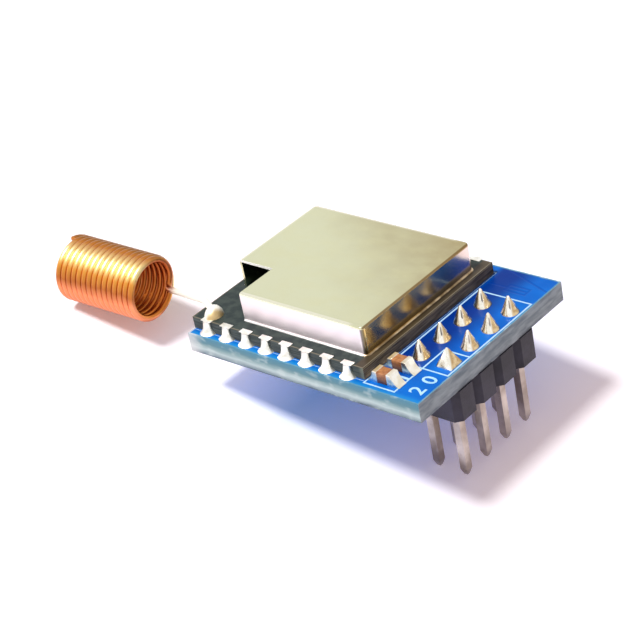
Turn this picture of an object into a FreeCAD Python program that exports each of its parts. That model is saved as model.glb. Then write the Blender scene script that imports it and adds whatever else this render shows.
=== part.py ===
import FreeCAD, Part
import math
import os
import re

import Sketcher

# A radio module soldered on a carrier board with a 2 x 4 pin header and a coiled wire antenna.
# Frame: the origin is the middle of the header, on the underside of its insulator, where the
# part sits on a socket. X runs from the antenna to the header, Z points up, millimetres.

V = FreeCAD.Vector

SIZES = [
    ("carrier_thickness", 1.6, "carrier board"),
    ("header_strip", 5.5, "carrier board beyond the module board, along X"),
    ("header_margin", 1.1, "outer pin row to the right edge of the carrier board"),
    ("pin_pitch", 2.54, "between pins, both ways"),
    ("pin_side", 0.64, "square pin"),
    ("pin_reach", 5.6, "pin below the insulator"),
    ("pin_rise", 1.1, "pin above the carrier board"),
    ("pin_taper", 0.5, "length of the tapered end"),
    ("pin_tip", 0.3, "side of the pin's end face"),
    ("hole_diameter", 1.0, "drilled hole for a pin"),
    ("solder_gap", 0.02, "between solder and the wall of its hole"),
    ("insulator_height", 2.54, "header insulator"),
    ("insulator_depth", 5.0, "header insulator, along X"),
    ("insulator_notch", 0.5, "bevel between two units of the insulator"),
    ("cone_diameter", 1.45, "foot of the solder cone on a pin"),
    ("cone_height", 1.4, "solder cone on a pin"),
    ("cone_tip", 0.3, "top of the solder cone"),
    ("module_length", 17.0, "module board, along X"),
    ("module_width", 16.0, "module board, along Y"),
    ("module_thickness", 1.0, "module board"),
    ("module_inset", 0.85, "module board behind the front edge of the carrier board"),
    ("module_back", 1.05, "carrier board beyond the back edge of the module board"),
    ("notch_diameter", 0.6, "half-round notch"),
    ("notch_start", 1.5, "first and last notch from the module board's corners"),
    ("fillet_reach", 0.72, "solder fillet out from the edge of the module board"),
    ("fillet_height", 0.8, "solder fillet up the edge of the module board"),
    ("fillet_waist", 0.46, "solder fillet out from the edge, a third of the way up"),
    ("can_left", 0.85, "shield can from the module board's left edge"),
    ("can_front", 1.35, "shield can from the module board's front edge"),
    ("can_right", 0.8, "shield can from the module board's right edge"),
    ("can_back", 1.45, "shield can from the module board's back edge"),
    ("can_height", 2.4, "shield can"),
    ("can_wall", 0.2, "sheet of the shield can"),
    ("can_corner", 0.8, "upright corners of the shield can"),
    ("can_edge", 0.3, "upper edge of the shield can"),
    ("cutaway_length", 3.45, "cut-away corner of the shield can, along X"),
    ("cutaway_width", 3.9, "cut-away corner of the shield can, along Y"),
    ("transceiver_side", 4.0, "transceiver chip"),
    ("transceiver_height", 0.85, "transceiver chip"),
    ("crystal_length", 3.2, "crystal"),
    ("crystal_width", 2.5, "crystal"),
    ("crystal_height", 0.7, "crystal"),
    ("switch_length", 2.0, "antenna switch chip"),
    ("switch_width", 1.25, "antenna switch chip"),
    ("switch_height", 0.9, "antenna switch chip"),
    ("filter_length", 1.0, "small chip part, end to end"),
    ("filter_width", 0.5, "small chip part"),
    ("filter_height", 0.5, "small chip part"),
    ("filter_clear", 0.4, "between two small chip parts"),
    ("switch_clear", 1.2, "antenna switch chip from the transceiver chip"),
    ("crystal_clear", 0.9, "crystal from the shield can's walls"),
    ("capacitor_length", 1.6, "capacitor, end to end"),
    ("capacitor_width", 0.8, "capacitor"),
    ("capacitor_height", 0.8, "capacitor"),
    ("capacitor_end", 0.35, "metal end of a capacitor"),
    ("capacitor_fillet", 0.4, "solder beyond the end of a capacitor"),
    ("capacitor_setback", 1.4, "front capacitor behind the front edge of the carrier board"),
    ("capacitor_spacing", 1.8, "between the two capacitors"),
    ("capacitor_clear", 1.94, "back capacitor in front of the first pin row"),
    ("capacitor_beside", 1.55, "capacitors from the module board's right edge"),
    ("wire_diameter", 0.55, "antenna wire"),
    ("coil_diameter", 5.5, "antenna coil, outside"),
    ("coil_pitch", 0.57, "between the turns of the coil"),
    ("coil_turns", 15.0, "whole turns of the coil"),
    ("coil_clear", 6.4, "open end of the coil from the carrier board's left edge"),
    ("coil_behind", 3.11, "coil's open end behind the carrier board's front edge"),
    ("coil_above", 0.59, "coil's open end above the top of the carrier board"),
    ("coil_climb", 0.18, "how much higher the coil's far end lies"),
    ("coil_stray", 0.29, "how much further forward the coil's far end lies"),
    ("lead_bend", 0.6, "radius of the bend where the lead leaves the coil"),
    ("lead_inward", 0.8, "how far the last quarter turn draws in"),
    ("lead_gap", 0.08, "lead above the module board"),
    ("lead_slant", 0.9, "lead's crossing of the board's edge behind its pad"),
    ("pad_along", 1.5, "antenna pad from the module board's left edge"),
    ("pad_behind", 0.9, "antenna pad behind the module board's front edge"),
    ("blob_length", 1.3, "solder on the antenna pad, along X"),
    ("blob_width", 1.7, "solder on the antenna pad, along Y"),
    ("blob_height", 0.75, "solder on the antenna pad"),
]

PIN_ROWS = 4
NOTCHES = 8
DRILL_SIDES = 12
CONE_SIDES = 12
DOME_SIDES = 12
DOME_STEPS = 4
RING_FACETS = 24
WIRE_SIDES = 6

# Places that several pieces share, as formulas of the sheet's names.
RIGHT = "(pin_pitch / 2 + header_margin)"
MODULE_RIGHT = f"({RIGHT} - header_strip)"
LEFT = f"({MODULE_RIGHT} - module_length)"
BACK_CAPACITOR = "(-1.5 * pin_pitch - capacitor_clear)"
FRONT = f"({BACK_CAPACITOR} - capacitor_spacing - capacitor_setback)"
MODULE_FRONT = f"({FRONT} + module_inset)"
BACK = f"({MODULE_FRONT} + module_width + module_back)"
DECK = "(insulator_height + carrier_thickness)"
MODULE_TOP = "(insulator_height + carrier_thickness + module_thickness)"
CAN_LEFT = f"({LEFT} + can_left)"
CAN_FRONT = f"({MODULE_FRONT} + can_front)"
CAN_LENGTH = "(module_length - can_left - can_right)"
CAN_WIDTH = "(module_width - can_front - can_back)"
NOTCH_PITCH = f"((module_length - 2 * notch_start) / {NOTCHES - 1})"

doc = FreeCAD.newDocument("radio_module")
sheet = doc.addObject("Spreadsheet::Sheet", "sizes")
finished = []


def fill_sheet():
    for row, (alias, value, note) in enumerate(SIZES, start=1):
        sheet.set(f"A{row}", note)
        sheet.set(f"B{row}", str(value))
        sheet.setAlias(f"B{row}", alias)
    doc.recompute()


def number(formula):
    """The value of a formula made of the sheet's names."""
    return float(sheet.evalExpression(formula))


def bind(item, **formulas):
    """Ties properties to formulas; every name in the sheet has an underscore in it."""
    for name, formula in formulas.items():
        item.setExpression(name, re.sub(r"\b([a-z]+_[a-z]+)\b", r"sizes.\1", formula))


def put(item, x, y, z):
    """Ties the place of an item to formulas."""
    for axis, formula in zip("xyz", (x, y, z)):
        bind(item, **{f"Placement.Base.{axis}": formula})
    return item


def keep(item, label):
    """Marks an item as a finished piece under its own name."""
    item.Label = label
    finished.append(item)
    return item


def block(name, size, middle_x, middle_y, bottom):
    """A box given by the middle of its underside."""
    length, width, height = size
    item = doc.addObject("Part::Box", name)
    bind(item, Length=length, Width=width, Height=height)
    return put(item, f"{middle_x} - ({length}) / 2", f"{middle_y} - ({width}) / 2", bottom)


def drill(name, diameter, height, x, y, z):
    """The space of a drilled hole, with few enough sides for a board full of them."""
    item = doc.addObject("Part::Prism", name)
    item.Polygon = DRILL_SIDES
    bind(item, Circumradius=f"({diameter}) / 2", Height=height)
    return put(item, x, y, z)


def ramp(name, length, height, width, x, y, z, turned):
    """A wedge of solder that falls away along X, or along -X when turned."""
    item = doc.addObject("Part::Wedge", name)
    upright = FreeCAD.Rotation(V(1, 0, 0), 90)
    facing = FreeCAD.Rotation(V(0, 0, 1), 180 if turned else 0)
    item.Placement = FreeCAD.Placement(V(), facing.multiply(upright))
    low, high = f"-({width}) / 2", f"({width}) / 2"
    bind(item, Xmin="0 * pin_side", Xmax=length, Ymin="0 * pin_side", Ymax=height, Zmin=low, Zmax=high)
    bind(item, X2min="0 * pin_side", X2max=f"({length}) / 5", Z2min=low, Z2max=high)
    return put(item, x, y, z)


def fuse(name, items):
    joined = doc.addObject("Part::MultiFuse", name)
    joined.Shapes = items
    joined.Refine = True
    return joined


def cut(name, base, tool):
    rest = doc.addObject("Part::Cut", name)
    rest.Base = base
    rest.Tool = tool
    rest.Refine = True
    return rest


def sketch_on(body, role, name):
    """An empty sketch on one of the body's own origin planes."""
    sketch = body.newObject("Sketcher::SketchObject", name)
    plane = [item for item in body.Origin.OriginFeatures if item.Role == role][0]
    sketch.AttachmentSupport = [(plane, "")]
    sketch.MapMode = "FlatFace"
    return sketch


def fix(sketch, geometry, end, corner):
    """Ties one end of a sketch line or arc to the two formulas of a corner."""
    for kind, formula in zip(("DistanceX", "DistanceY"), corner):
        index = sketch.addConstraint(Sketcher.Constraint(kind, -1, 1, geometry, end, number(formula)))
        bind(sketch, **{f"Constraints[{index}]": formula})


def outline(sketch, corners):
    """A closed outline through the corners, each given by two formulas."""
    points = [V(number(u), number(v), 0) for u, v in corners]
    for side, corner in enumerate(corners):
        after = (side + 1) % len(corners)
        line = sketch.addGeometry(Part.LineSegment(points[side], points[after]))
        fix(sketch, line, 1, corner)
        fix(sketch, line, 2, corners[after])


def ring(across, along, sides, first=0.0, last=360.0):
    """Corners on an ellipse with the two given radii, from one angle in degrees to another."""
    whole = abs(last - first) == 360
    steps = sides if whole else sides + 1
    for step in range(steps):
        angle = math.radians(first + (last - first) * step / sides)
        yield f"({across}) * {math.cos(angle):.9f}", f"({along}) * {math.sin(angle):.9f}"


def square(side):
    half = f"({side}) / 2"
    return [(f"-{half}", f"-{half}"), (half, f"-{half}"), (half, half), (f"-{half}", half)]


def layered(name, layers, x, y, z):
    """A body with straight flanks from one flat outline up to the next."""
    body = doc.addObject("PartDesign::Body", name)
    sketches = []
    for height, corners in layers:
        sketch = sketch_on(body, "XY_Plane", "layer")
        bind(sketch, **{"AttachmentOffset.Base.z": height})
        outline(sketch, list(corners))
        sketches.append(sketch)
    loft = body.newObject("PartDesign::AdditiveLoft", "flanks")
    loft.Profile = sketches[0]
    loft.Sections = sketches[1:]
    loft.Ruled = True
    return put(body, x, y, z)


def pad(body, sketch, height):
    feature = body.newObject("PartDesign::Pad", sketch.Name + "_pad")
    feature.Profile = sketch
    bind(feature, Length=height)
    return feature


def pin_places():
    """The pins from pin 1, at the front right, row by row."""
    for row in range(PIN_ROWS):
        y = f"pin_pitch * {row - (PIN_ROWS - 1) / 2}"
        for x in ("pin_pitch / 2", "-pin_pitch / 2"):
            yield x, y


def notch_places():
    """The half-round notches of the module board: front edge, then back edge."""
    for y, at_back in ((MODULE_FRONT, False), (f"({MODULE_FRONT} + module_width)", True)):
        for step in range(NOTCHES):
            yield f"{LEFT} + notch_start + {NOTCH_PITCH} * {step}", y, at_back


def carrier_board():
    plate = block("carrier_plate", (f"({RIGHT} - {LEFT})", f"({BACK} - {FRONT})", "carrier_thickness"),
                  f"({LEFT} + {RIGHT}) / 2", f"({FRONT} + {BACK}) / 2", "insulator_height")
    drills = [drill("pin_hole", "hole_diameter", "carrier_thickness", x, y, "insulator_height")
              for x, y in pin_places()]
    keep(cut("carrier", plate, fuse("pin_holes", drills)), "carrier_board")


def module_board():
    plate = block("module_plate", ("module_length", "module_width", "module_thickness"),
                  f"({LEFT} + module_length / 2)", f"({MODULE_FRONT} + module_width / 2)", DECK)
    drills = [drill("edge_hole", "notch_diameter", "module_thickness", x, y, DECK)
              for x, y, at_back in notch_places()]
    keep(cut("module", plate, fuse("edge_holes", drills)), "module_board")


def module_joints():
    """A solder fillet at each notch: a foot outside that narrows upward, and a plug in the notch."""
    plug = list(ring("notch_diameter / 2 - solder_gap", "notch_diameter / 2 - solder_gap", 4, 0, 180))
    levels = (("0 * pin_side", "fillet_reach"), ("fillet_height / 3", "fillet_waist"),
              ("fillet_height", "notch_diameter / 2"))
    layers = [(height, list(ring(reach, reach, 4, 180, 360)) + plug) for height, reach in levels]
    for count, (x, y, at_back) in enumerate(notch_places(), start=1):
        joint = layered("module_joint", layers, x, y, DECK)
        if at_back:
            joint.Placement.Rotation = FreeCAD.Rotation(V(0, 0, 1), 180)
        keep(joint, f"module_joint_{count}")


def shield_can():
    """Drawn from one sheet: a lid with round edges, hollow below, with one corner cut away."""
    body = doc.addObject("PartDesign::Body", "can")
    plan = sketch_on(body, "XY_Plane", "can_plan")
    zero = "0 * pin_side"
    outline(plan, [(zero, zero), (CAN_LENGTH, zero), (CAN_LENGTH, CAN_WIDTH), (zero, CAN_WIDTH)])
    lid = pad(body, plan, "can_height")
    doc.recompute()
    upright = [f"Edge{n}" for n, edge in enumerate(lid.Shape.Edges, start=1)
               if abs(edge.tangentAt(edge.FirstParameter).z) > 0.9]
    corners = body.newObject("PartDesign::Fillet", "can_corners")
    corners.Base = (lid, upright)
    bind(corners, Radius="can_corner")
    doc.recompute()
    underside = [f"Face{n}" for n, face in enumerate(corners.Shape.Faces, start=1)
                 if face.BoundBox.ZMax < 1e-6]
    hollow = body.newObject("PartDesign::Thickness", "can_sheet")
    hollow.Base = (corners, underside)
    bind(hollow, Value="can_wall")
    hollow.Reversed = True
    doc.recompute()
    rim = [f"Edge{n}" for n, edge in enumerate(hollow.Shape.Edges, start=1)
           if abs(edge.CenterOfMass.z - number("can_height")) < 1e-6]
    edge_round = body.newObject("PartDesign::Fillet", "can_rim")
    edge_round.Base = (hollow, rim)
    bind(edge_round, Radius="can_edge")
    doc.recompute()
    whole = edge_round.Shape.Volume
    corner = sketch_on(body, "XY_Plane", "can_cutaway")
    outline(corner, [("-can_wall", "-can_wall"), ("cutaway_length", "-can_wall"),
                     ("cutaway_length", "cutaway_width"), ("-can_wall", "cutaway_width")])
    opening = body.newObject("PartDesign::Pocket", "can_opening")
    opening.Profile = corner
    opening.Type = 1
    opening.Reversed = True
    doc.recompute()
    if opening.Shape.Volume > whole - 1:
        raise RuntimeError("the corner of the shield can was not cut away")
    put(body, CAN_LEFT, CAN_FRONT, MODULE_TOP)
    keep(body, "shield_can")


def under_the_can():
    """The parts that the can covers, placed from its middle and its walls."""
    middle_x, middle_y = f"({CAN_LEFT} + {CAN_LENGTH} / 2)", f"({CAN_FRONT} + {CAN_WIDTH} / 2)"
    keep(block("transceiver", ("transceiver_side", "transceiver_side", "transceiver_height"),
               middle_x, middle_y, MODULE_TOP), "transceiver_chip")
    keep(block("crystal_case", ("crystal_length", "crystal_width", "crystal_height"),
               f"({CAN_LEFT} + {CAN_LENGTH} - can_wall - crystal_clear - crystal_length / 2)",
               f"({CAN_FRONT} + {CAN_WIDTH} - can_wall - crystal_clear - crystal_width / 2)",
               MODULE_TOP), "crystal")
    beside = f"({middle_x} - transceiver_side / 2 - switch_clear)"
    keep(block("switch", ("switch_length", "switch_width", "switch_height"),
               f"({beside} - switch_length / 2)",
               f"({middle_y} + transceiver_side / 2 - switch_width / 2)", MODULE_TOP), "antenna_switch")
    for count in range(4):
        keep(block("filter", ("filter_length", "filter_width", "filter_height"),
                   f"({beside} + switch_clear / 2 - filter_length / 2)",
                   f"({middle_y} - filter_width / 2 - (filter_width + filter_clear) * {count})",
                   MODULE_TOP), f"filter_part_{count + 1}")


def chip_part(label, family, x, y, z):
    """A ceramic block with two metal ends, each run down to its pad by a ramp of solder."""
    length, width, height = (f"{family}_{side}" for side in ("length", "width", "height"))
    end, fillet = f"{family}_end", f"{family}_fillet"
    keep(block(f"{label}_block", (f"({length} - 2 * {end})", width, height), x, y, z), label)
    for side, sign in (("left", -1), ("right", 1)):
        middle = f"({x} + {sign} * ({length} - {end}) / 2)"
        cap = block(f"{label}_cap", (end, width, height), middle, y, z)
        slope = ramp(f"{label}_slope", fillet, f"({height} * 0.7)", width,
                     f"({x} + {sign} * {length} / 2)", y, z, turned=sign < 0)
        keep(fuse(f"{label}_{side}", [cap, slope]), f"{label}_{side}_end")


def header_insulator():
    """A moulded bar of 2 x 4 units, bevelled where the units can be snapped apart."""
    body = doc.addObject("PartDesign::Body", "insulator")
    plan = sketch_on(body, "XY_Plane", "insulator_plan")
    side = []
    for unit in range(PIN_ROWS):
        low, high = (f"pin_pitch * {unit + shift - PIN_ROWS / 2}" for shift in (0, 1))
        side.append(("insulator_depth / 2 - insulator_notch", low))
        side.append(("insulator_depth / 2", f"{low} + insulator_notch"))
        side.append(("insulator_depth / 2", f"{high} - insulator_notch"))
    side.append(("insulator_depth / 2 - insulator_notch", f"pin_pitch * {PIN_ROWS / 2}"))
    mirrored = [(f"-({u})", v) for u, v in reversed(side)]
    outline(plan, side + mirrored)
    bar = pad(body, plan, "insulator_height")
    doc.recompute()
    holes = sketch_on(body, "XY_Plane", "pin_squares")
    for x, y in pin_places():
        outline(holes, [(f"{x} - pin_side / 2", f"{y} - pin_side / 2"),
                        (f"{x} + pin_side / 2", f"{y} - pin_side / 2"),
                        (f"{x} + pin_side / 2", f"{y} + pin_side / 2"),
                        (f"{x} - pin_side / 2", f"{y} + pin_side / 2")])
    passage = body.newObject("PartDesign::Pocket", "pin_passages")
    passage.Profile = holes
    passage.Type = 1
    passage.Reversed = True
    doc.recompute()
    if passage.Shape.Volume > bar.Shape.Volume - 1:
        raise RuntimeError("the insulator has no pin holes")
    keep(body, "header_insulator")


def header_pins():
    """Square pins with tapered ends, each soldered on top of the carrier board."""
    top = f"{DECK} + pin_rise"
    levels = (("-pin_reach", "pin_tip"), ("pin_taper - pin_reach", "pin_side"),
              (f"{top} - pin_taper", "pin_side"), (top, "pin_tip"))
    for count, (x, y) in enumerate(pin_places(), start=1):
        pin = layered("pin", [(height, square(side)) for height, side in levels], x, y, "0 * pin_side")
        keep(pin, f"header_pin_{count}")
        # Pin 1 has a square pad, so its solder rises as a pyramid.
        if count == 1:
            layers = [("0 * pin_side", square("cone_diameter")), ("cone_height", square("cone_tip"))]
        else:
            layers = [("0 * pin_side", ring("cone_diameter / 2", "cone_diameter / 2", CONE_SIDES)),
                      ("cone_height", ring("cone_tip / 2", "cone_tip / 2", CONE_SIDES))]
        cone = layered("cone", layers, x, y, DECK)
        sleeve = drill("sleeve", "hole_diameter - 2 * solder_gap", "carrier_thickness",
                       x, y, "insulator_height")
        keep(cut("joint", fuse("solder", [cone, sleeve]), pin), f"header_joint_{count}")


def capacitors():
    x = f"({MODULE_RIGHT} + capacitor_beside)"
    for count, y in ((1, f"({BACK_CAPACITOR} - capacitor_spacing)"), (2, BACK_CAPACITOR)):
        chip_part(f"capacitor_{count}", "capacitor", x, y, DECK)


def coil_middle():
    """The middle of the coil's open end, which faces the module board."""
    return V(number(f"{LEFT} - coil_clear"), number(f"{FRONT} + coil_behind"), number(f"{DECK} + coil_above"))


def lead_corners():
    """Where the lead comes over the module board's edge, and where it ends in its solder."""
    height = number(f"{MODULE_TOP} + lead_gap + wire_diameter / 2")
    finish = V(number(f"{LEFT} + pad_along"), number(f"{MODULE_FRONT} + pad_behind"), height)
    edge = V(number(f"{LEFT} - wire_diameter / 2"), finish.y + number("lead_slant"), height)
    return edge, finish


def coil_rings():
    """Points along the wound wire and the outward direction at each, from the far end on."""
    radius = number("coil_diameter - wire_diameter") / 2
    turns, pitch = number("coil_turns"), number("coil_pitch")
    far_end = V(-pitch * turns, -number("coil_stray"), number("coil_climb"))
    tilt = FreeCAD.Rotation(V(-1, 0, 0), far_end)
    draw_in = number("lead_inward")
    last_angle = math.radians(-8)
    quarter = RING_FACETS // 4
    steps = round(turns * RING_FACETS) + quarter
    for step in range(steps + 1):
        left = steps - step
        angle = last_angle + 2 * math.pi * left / RING_FACETS
        inward = draw_in * (max(0, quarter - left) / quarter) ** 2
        outward = V(0, math.cos(angle), math.sin(angle))
        point = outward * (radius - inward) + V(-pitch * left / RING_FACETS, 0, 0)
        yield tilt.multVec(point), tilt.multVec(outward)


def bend_and_lead(start, heading, edge, finish):
    """Points of the bend, tangent to the coil's end and to the straight lead, and of the lead."""
    radius = number("lead_bend")
    normal = heading.cross(edge - start).normalize()
    centre = start + normal.cross(heading) * radius
    away = edge - centre
    lean = math.acos(radius / away.Length)
    touch = FreeCAD.Rotation(normal, -math.degrees(lean)).multVec(away.normalize()) * radius
    sweep = math.degrees((start - centre).getAngle(touch))
    if normal.dot((start - centre).cross(touch)) < 0:
        sweep = 360 - sweep
    steps = max(4, round(sweep / 18))
    points = [centre + FreeCAD.Rotation(normal, sweep * k / steps).multVec(start - centre)
              for k in range(1, steps + 1)]
    return points + [edge, finish]


def wire_section(middle, along, outward):
    """A six-sided section of the round wire's area, a flat towards each neighbouring turn."""
    across_flats = number("wire_diameter") * math.sqrt(math.pi / (2 * math.sqrt(3)))
    reach = across_flats / math.sqrt(3)
    side = (outward - along * outward.dot(along)).normalize()
    other = along.cross(side)
    corners = [middle + side * (reach * math.cos(turn)) + other * (reach * math.sin(turn))
               for turn in (2 * math.pi * k / WIRE_SIDES for k in range(WIRE_SIDES))]
    return Part.makePolygon(corners + corners[:1]), side


def antenna_coil():
    """One wire, close wound, that draws in at its open end and runs straight to its pad."""
    rings = list(coil_rings())
    route = [point for point, outward in rings]
    sides = [outward for point, outward in rings]
    edge, finish = (corner - coil_middle() for corner in lead_corners())
    heading = (route[-1] - route[-2]).normalize()
    route += bend_and_lead(route[-1], heading, edge, finish)
    sections = []
    side = sides[0]
    for step, point in enumerate(route):
        before, after = route[max(step - 1, 0)], route[min(step + 1, len(route) - 1)]
        if step < len(sides):
            side = sides[step]
        section, side = wire_section(point, (after - before).normalize(), side)
        sections.append(section)
    coil = doc.addObject("Part::Feature", "coil")
    coil.Shape = Part.makeLoft(sections, True, True)
    coil.Placement = FreeCAD.Placement(coil_middle(), FreeCAD.Rotation())
    keep(coil, "antenna_coil")


def antenna_joint():
    """A dome of solder on the antenna pad, with the lead's end in it."""
    edge, finish = lead_corners()
    layers = []
    for step in range(DOME_STEPS):
        lean = math.pi / 2 * step / DOME_STEPS
        shrink = f"{math.cos(lean):.9f}"
        layers.append((f"blob_height * {math.sin(lean) / math.sin(math.pi / 2 * (1 - 1 / DOME_STEPS)):.9f}",
                       ring(f"blob_length / 2 * {shrink}", f"blob_width / 2 * {shrink}", DOME_SIDES)))
    dome = layered("dome", layers, f"({LEFT} + pad_along)", f"({MODULE_FRONT} + pad_behind)", MODULE_TOP)
    way = doc.addObject("Part::Cylinder", "lead_way")
    bind(way, Radius="wire_diameter * 0.55 + solder_gap", Height="pad_along + pad_behind")
    back = (edge - finish).normalize()
    way.Placement = FreeCAD.Placement(finish, FreeCAD.Rotation(V(0, 0, 1), back))
    keep(cut("blob", dome, way), "antenna_joint")


def check_and_write():
    doc.recompute()
    for item in doc.Objects:
        if "Invalid" in item.State or "Error" in item.State:
            raise RuntimeError(f"{item.Label} did not build: {item.State}")
    os.makedirs("parts", exist_ok=True)
    for item in finished:
        shape = item.Shape
        if shape.isNull() or not shape.isValid() or not shape.Solids:
            raise RuntimeError(f"{item.Label} is not a sound solid")
        shape.exportStep(f"parts/{item.Label}.step")
    print(f"{len(finished)} pieces written")


fill_sheet()
carrier_board()
module_board()
module_joints()
shield_can()
under_the_can()
antenna_coil()
antenna_joint()
header_insulator()
header_pins()
capacitors()
check_and_write()
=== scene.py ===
# %% [markdown]
# # A long-range radio module, dressed in Blender
# The solids of the module come from its CAD model and stay where they are. This lesson
# gives each one the finish of the real thing and models what the solids leave plain: the
# tight folds of the shield can, the round copper wire of the antenna, the smooth solder and
# the printed numbers. Everything is in metres, in the frame of the CAD model, so nothing has
# to be fitted by eye.

import math

import bpy
from mathutils import Matrix, Vector


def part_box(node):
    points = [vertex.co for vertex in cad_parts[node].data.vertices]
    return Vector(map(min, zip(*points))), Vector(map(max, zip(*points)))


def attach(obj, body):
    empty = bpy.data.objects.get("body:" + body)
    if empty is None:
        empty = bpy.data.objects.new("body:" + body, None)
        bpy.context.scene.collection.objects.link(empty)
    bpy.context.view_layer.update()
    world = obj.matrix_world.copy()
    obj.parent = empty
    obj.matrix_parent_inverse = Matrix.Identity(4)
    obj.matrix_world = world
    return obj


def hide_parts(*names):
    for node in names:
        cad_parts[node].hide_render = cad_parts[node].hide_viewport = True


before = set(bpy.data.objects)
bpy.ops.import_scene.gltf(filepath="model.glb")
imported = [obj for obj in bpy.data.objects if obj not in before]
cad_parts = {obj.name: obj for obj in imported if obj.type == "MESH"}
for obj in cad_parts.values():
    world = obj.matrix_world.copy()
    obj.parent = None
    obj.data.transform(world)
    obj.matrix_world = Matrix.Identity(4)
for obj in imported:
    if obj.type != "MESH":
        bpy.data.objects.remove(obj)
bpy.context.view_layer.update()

# %% [markdown]
# ## The camera
# The photograph was taken with a long lens from the front right, well above the boards,
# and turned a little, so the boards lean. The place and the three directions below were
# solved from edges whose real sizes are known. A matrix built from directions is safer
# than angles, because nothing depends on an order of rotation.

# %% Stand the camera where the photographer stood
MM = 0.001
FOCAL_LENGTH = 112.547
camera_place = Vector((81.992, -94.233, 81.803)) * MM
looking = Vector((-0.61571, 0.59969, -0.51115)).normalized()
level = Vector((looking.y, -looking.x, 0)).normalized()
upright = level.cross(looking)
roll = math.radians(-11.507)
across = level * math.cos(roll) + upright * math.sin(roll)
upward = upright * math.cos(roll) - level * math.sin(roll)

bpy.ops.object.select_all(action="DESELECT")
bpy.ops.object.camera_add()
camera = bpy.context.object
camera.name = "product_camera"
camera.data.sensor_fit = "HORIZONTAL"
camera.data.sensor_width = 36
camera.data.lens = FOCAL_LENGTH
camera.data.clip_start = 0.01
camera.data.clip_end = 5
turned = Matrix((across, upward, -looking)).transposed().to_4x4()
camera.matrix_world = Matrix.Translation(camera_place) @ turned
bpy.context.scene.camera = camera
bpy.context.scene.view_settings.view_transform = "Standard"
print("camera at", [round(value, 4) for value in camera.location])

# %% [markdown]
# ## One class for shader maths
# A finish is easier to read as arithmetic than as a list of nodes. This class wraps one
# socket. Adding or multiplying wrapped sockets adds the Math, Vector Math or Mix node that
# works it out, and `node` makes any other node. `SKIN` is how close to a face, in
# millimetres, a place counts as lying on it.

# %% Wrap a socket
SKIN = 0.02


class Field:
    """A socket of a material's nodes, which can be used in arithmetic."""

    def __init__(self, tree, socket):
        self.tree = tree
        self.socket = socket

    def plug(self, socket, value):
        """Link or set one input."""
        if isinstance(value, Field):
            self.tree.links.new(value.socket, socket)
        elif socket.type == "RGBA":
            plain = (value, value, value) if isinstance(value, (int, float)) else value
            socket.default_value = (*plain[:3], 1)
        elif socket.type == "VECTOR" and isinstance(value, (int, float)):
            socket.default_value = (value, value, value)
        else:
            socket.default_value = value

    def node(self, kind, settings, inputs, out=0):
        """Any node: its settings first, then the values or links of its inputs."""
        made = self.tree.nodes.new(kind)
        for name, value in settings.items():
            if name == "stops":
                ramp = made.color_ramp
                while len(ramp.elements) < len(value):
                    ramp.elements.new(0.5)
                for stop, (place, colour) in zip(ramp.elements, value):
                    stop.position = place
                    stop.color = (*colour, 1)
            else:
                setattr(made, name, value)
        for name, value in inputs.items():
            self.plug(made.inputs[name], value)
        return Field(self.tree, made.outputs[out])

    def work(self, operation, first, second=0.0):
        """One step of arithmetic, on colours, vectors or numbers."""
        kinds = [value.socket.type for value in (first, second) if isinstance(value, Field)]
        if "RGBA" in kinds:
            settings = {"data_type": "RGBA", "blend_type": operation}
            return self.node("ShaderNodeMix", settings, {0: 1.0, 6: first, 7: second}, 2)
        kind = "ShaderNodeVectorMath" if "VECTOR" in kinds else "ShaderNodeMath"
        return self.node(kind, {"operation": operation}, {0: first, 1: second})

    def __add__(self, other):
        return self.work("ADD", self, other)

    def __radd__(self, other):
        return self.work("ADD", other, self)

    def __sub__(self, other):
        return self.work("SUBTRACT", self, other)

    def __rsub__(self, other):
        return self.work("SUBTRACT", other, self)

    def __mul__(self, other):
        return self.work("MULTIPLY", self, other)

    def __rmul__(self, other):
        return self.work("MULTIPLY", other, self)

    def __truediv__(self, other):
        return self.work("DIVIDE", self, other)

    def part(self, letter):
        """One coordinate of a vector."""
        return self.node("ShaderNodeSeparateXYZ", {}, {0: self}, "XYZ".index(letter))

    def size(self):
        return self.work("ABSOLUTE", self)

    def least(self, other):
        return self.work("MINIMUM", self, other)

    def most(self, other):
        return self.work("MAXIMUM", self, other)

    def wrap(self, length):
        """A coordinate that runs from 0 to length and starts again."""
        return self.node("ShaderNodeMath", {"operation": "FLOORED_MODULO"}, {0: self, 1: length})

    def rise(self, low, high):
        """0 below low, 1 above high, and smooth between."""
        settings = {"interpolation_type": "SMOOTHSTEP"}
        return self.node("ShaderNodeMapRange", settings, {0: self, 1: low, 2: high})

    def past(self, face):
        """1 from a flat face onwards, and 0 beneath its skin."""
        return self.rise(face - SKIN, face - SKIN / 2)

    def speckle(self, scale, detail=3.0, stretch=(1, 1, 1)):
        """Soft noise from 0 to 1, on a place in millimetres."""
        inputs = {"Vector": self * Vector(stretch), "Scale": scale, "Detail": detail}
        return self.node("ShaderNodeTexNoise", {}, inputs)

    def ramp(self, *stops):
        """A colour from stops of (place, colour)."""
        return self.node("ShaderNodeValToRGB", {"stops": stops}, {0: self})

    def blend(self, low, high):
        """From one colour to another as this goes from 0 to 1."""
        settings = {"data_type": "RGBA"}
        return self.node("ShaderNodeMix", settings, {0: self, 6: low, 7: high}, 2)


# %% [markdown]
# ## Starting a finish
# A colour is written as it looks on a screen, from 0 to 255, and Blender wants it linear.
# Each finish starts from a Principled shader and the place on the piece in millimetres,
# read from Object coordinates. The nodes and the new pieces all sit at the origin, so the
# same millimetres mean the same place in the CAD model and in a pattern.

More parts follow.
